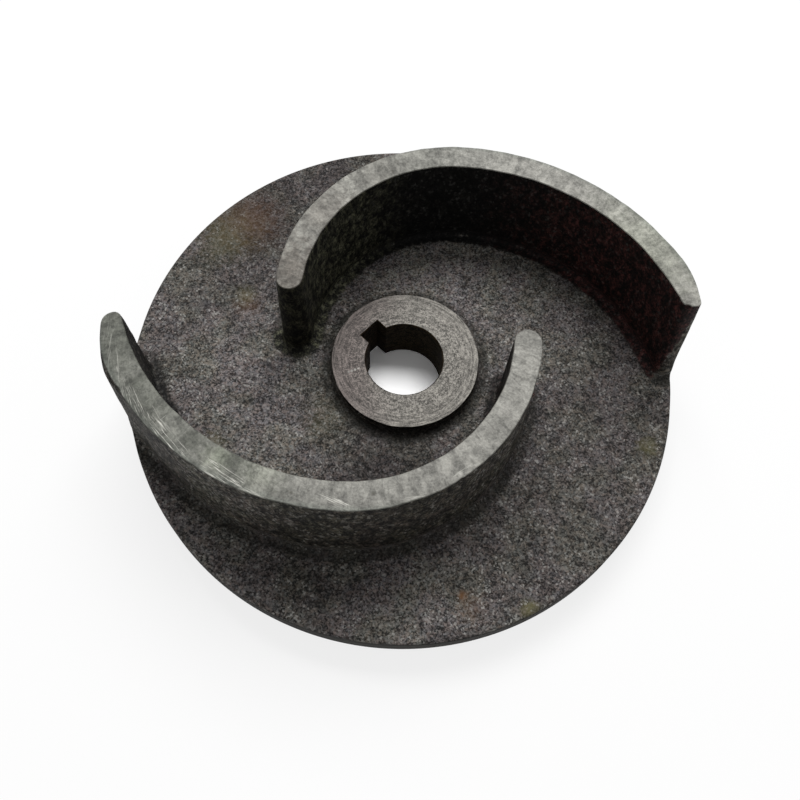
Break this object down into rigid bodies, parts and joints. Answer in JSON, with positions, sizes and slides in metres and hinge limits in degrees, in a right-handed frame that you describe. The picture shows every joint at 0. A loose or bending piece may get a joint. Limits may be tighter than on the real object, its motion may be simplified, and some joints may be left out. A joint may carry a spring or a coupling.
{
  "type": "pump impeller",
  "caption": "Semi-open cast iron pump impeller: round back plate, tall curved vanes, short hub with a keyed bore.",
  "frame": {"origin": "on the bore axis, in the rear hub face that seats on the shaft's shoulder and that the impeller rests on", "axes": "+Z along the bore, towards the vanes and the pump's inlet; +X and +Y lie in the back plate, and each vane runs along X where its two arcs meet"},
  "size_m": [0.14, 0.14, 0.0415],
  "materials": {
    "iron": "sand-cast skin with light rust stains; vane tops, rim, hub faces and bore machined"
  },
  "bodies": {
    "root": {"impeller": "iron"}
  },
  "joints": []
}
